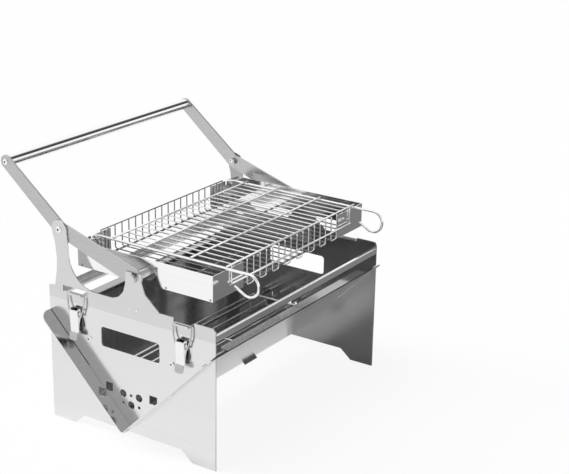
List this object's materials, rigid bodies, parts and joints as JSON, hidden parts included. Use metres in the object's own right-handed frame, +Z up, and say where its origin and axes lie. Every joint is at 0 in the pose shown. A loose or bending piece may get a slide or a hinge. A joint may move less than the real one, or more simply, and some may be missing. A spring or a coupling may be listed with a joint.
{
  "type": "portable charcoal grill",
  "caption": "Portable stainless charcoal grill: V-shaped plug-together firebox, latched top frame, two-armed lift lever, and a wire basket with a hinged lid that turns over on its axle.",
  "frame": {"origin": "middle of the bounding box on the floor between the feet", "axes": "+X along the grill from the left end panel to the right, +Y towards the grip, +Z up"},
  "size_m": [0.478, 0.4246, 0.392],
  "materials": {
    "brushed_sheet": "brushed stainless sheet",
    "mirror_sheet": "bright rolled stainless sheet",
    "plain_sheet": "plain stainless sheet",
    "brushed_bar": "fine brushed stainless bar",
    "polished_tube": "polished stainless tube",
    "bright_sheet": "bright annealed sheet",
    "grate_wire": "plain steel rod",
    "chrome_wire": "chrome plated wire",
    "fastener_steel": "turned stainless steel",
    "latch_chrome": "nickel plated pressed steel"
  },
  "bodies": {
    "firebox": {"end_panel_left": "brushed_sheet", "end_panel_right": "brushed_sheet", "trough_front": "mirror_sheet", "trough_back": "mirror_sheet", "charcoal_grate": "grate_wire", "panel_bolts": "fastener_steel", "panel_nuts": "fastener_steel", "bracket_left": "brushed_sheet", "bracket_right": "brushed_sheet", "rail_front": "plain_sheet", "rail_rear": "plain_sheet", "frame_locators": "plain_sheet", "pivot_bolts": "fastener_steel", "pivot_washers": "fastener_steel", "pivot_nuts": "fastener_steel", "latch_bases": "latch_chrome"},
    "lift_lever": {"arm_left": "brushed_bar", "arm_right": "brushed_bar", "grip_tube": "polished_tube", "grip_plugs": "fastener_steel", "grip_screws": "fastener_steel"},
    "basket": {"cap_left": "bright_sheet", "cap_right": "bright_sheet", "axle_bolts": "fastener_steel", "axle_collars": "fastener_steel", "axle_nuts": "fastener_steel", "tray_grid": "chrome_wire", "tray_wall": "chrome_wire", "hinge_pins": "chrome_wire"},
    "lid": {"lid_grid": "chrome_wire", "lid_front": "chrome_wire", "lid_rod_left": "chrome_wire", "lid_rod_right": "chrome_wire"},
    "lever_lf": {"latch_lever_lf": "latch_chrome"},
    "bail_lf": {"latch_bail_lf": "latch_chrome"},
    "lever_lb": {"latch_lever_lb": "latch_chrome"},
    "bail_lb": {"latch_bail_lb": "latch_chrome"},
    "lever_rf": {"latch_lever_rf": "latch_chrome"},
    "bail_rf": {"latch_bail_rf": "latch_chrome"},
    "lever_rb": {"latch_lever_rb": "latch_chrome"},
    "bail_rb": {"latch_bail_rb": "latch_chrome"}
  },
  "joints": [
    {"name": "lift", "type": "hinge", "parent": "firebox", "child": "lift_lever", "pos_m": [0, 0.10185, 0.3], "axis": [-1, 0, 0], "range_deg": [0, 40]},
    {"name": "spin", "type": "hinge", "parent": "lift_lever", "child": "basket", "pos_m": [0, -0.03315, 0.256], "axis": [1, 0, 0], "range_deg": [-180, 0]},
    {"name": "lid_hinge", "type": "hinge", "parent": "basket", "child": "lid", "pos_m": [0, 0.0774, 0.2778], "axis": [-1, 0, 0], "range_deg": [0, 100]},
    {"name": "latch_lf", "type": "hinge", "parent": "firebox", "child": "lever_lf", "pos_m": [-0.222, -0.12115, 0.184], "axis": [0, 1, 0], "range_deg": [0, 90]},
    {"name": "hook_lf", "type": "hinge", "parent": "lever_lf", "child": "bail_lf", "pos_m": [-0.2212, -0.12115, 0.176], "axis": [0, 1, 0], "range_deg": [-77, 0]},
    {"name": "latch_lb", "type": "hinge", "parent": "firebox", "child": "lever_lb", "pos_m": [-0.222, 0.07085, 0.184], "axis": [0, 1, 0], "range_deg": [0, 90]},
    {"name": "hook_lb", "type": "hinge", "parent": "lever_lb", "child": "bail_lb", "pos_m": [-0.2212, 0.07085, 0.176], "axis": [0, 1, 0], "range_deg": [-77, 0]},
    {"name": "latch_rf", "type": "hinge", "parent": "firebox", "child": "lever_rf", "pos_m": [0.222, -0.12115, 0.184], "axis": [0, -1, 0], "range_deg": [0, 90]},
    {"name": "hook_rf", "type": "hinge", "parent": "lever_rf", "child": "bail_rf", "pos_m": [0.2212, -0.12115, 0.176], "axis": [0, -1, 0], "range_deg": [-77, 0]},
    {"name": "latch_rb", "type": "hinge", "parent": "firebox", "child": "lever_rb", "pos_m": [0.222, 0.07085, 0.184], "axis": [0, -1, 0], "range_deg": [0, 90]},
    {"name": "hook_rb", "type": "hinge", "parent": "lever_rb", "child": "bail_rb", "pos_m": [0.2212, 0.07085, 0.176], "axis": [0, -1, 0], "range_deg": [-77, 0]}
  ],
  "couplings": [
    {"joint": "hook_lf", "follows": "latch_lf", "ratio": -0.85},
    {"joint": "hook_lb", "follows": "latch_lb", "ratio": -0.85},
    {"joint": "hook_rf", "follows": "latch_rf", "ratio": -0.85},
    {"joint": "hook_rb", "follows": "latch_rb", "ratio": -0.85}
  ]
}
